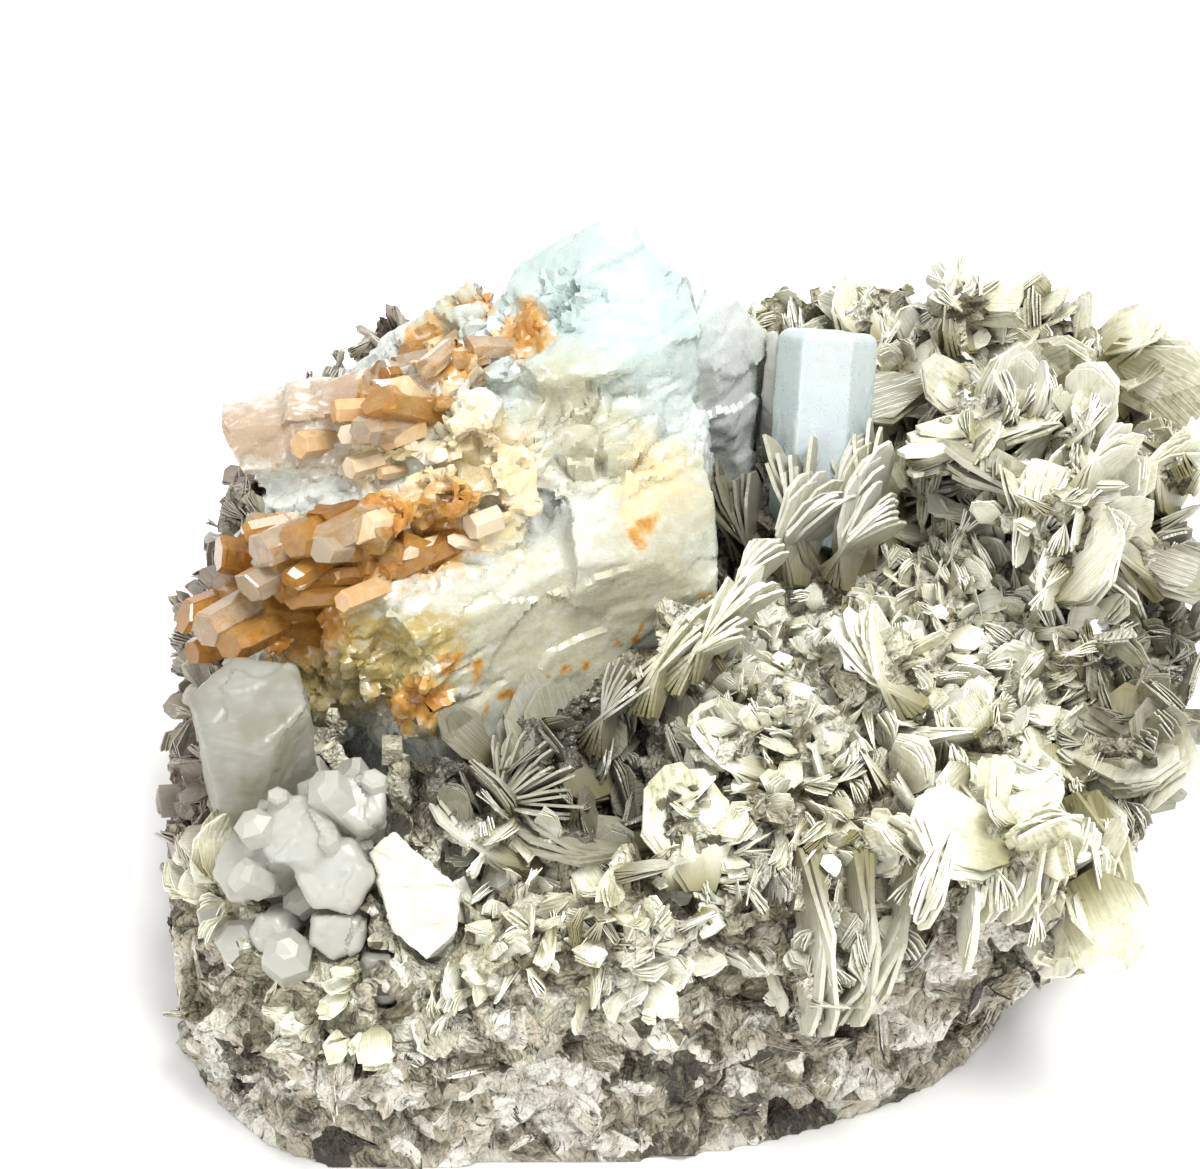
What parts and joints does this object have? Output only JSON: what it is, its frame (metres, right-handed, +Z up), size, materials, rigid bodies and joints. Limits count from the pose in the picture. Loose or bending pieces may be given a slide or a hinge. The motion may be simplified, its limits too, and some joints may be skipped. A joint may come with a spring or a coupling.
{
  "type": "mineral specimen",
  "caption": "Aquamarine crystals on a slab of fanned silvery mica, rust-stained in the seams, resting on a flattish broken underside.",
  "frame": {"origin": "on the surface the specimen rests on, under the centre of its overall box", "axes": "+Z up; +X along the longest side, towards the large mica fans; -Y is the broken front wall"},
  "size_m": [0.132, 0.108, 0.084],
  "materials": {
    "mica": "pearly cleaved leaves, silvery olive-beige, dark in the gaps",
    "aquamarine": "icy pale blue to greenish clear, etched, rust brown in the seams",
    "cloudy_beryl": "milky white, dull lustre",
    "frosted_beryl": "frosted pale grey-green",
    "albite": "white, cleaved, satin"
  },
  "bodies": {
    "root": {"mica_matrix": "mica", "large_aquamarine": "aquamarine", "standing_aquamarine": "aquamarine", "cloudy_beryl": "cloudy_beryl", "squat_beryl": "frosted_beryl", "beryl_cluster": "frosted_beryl", "small_beryl_1": "frosted_beryl", "small_beryl_2": "frosted_beryl", "small_beryl_3": "frosted_beryl", "small_beryl_4": "frosted_beryl", "albite_blade": "albite"}
  },
  "joints": []
}
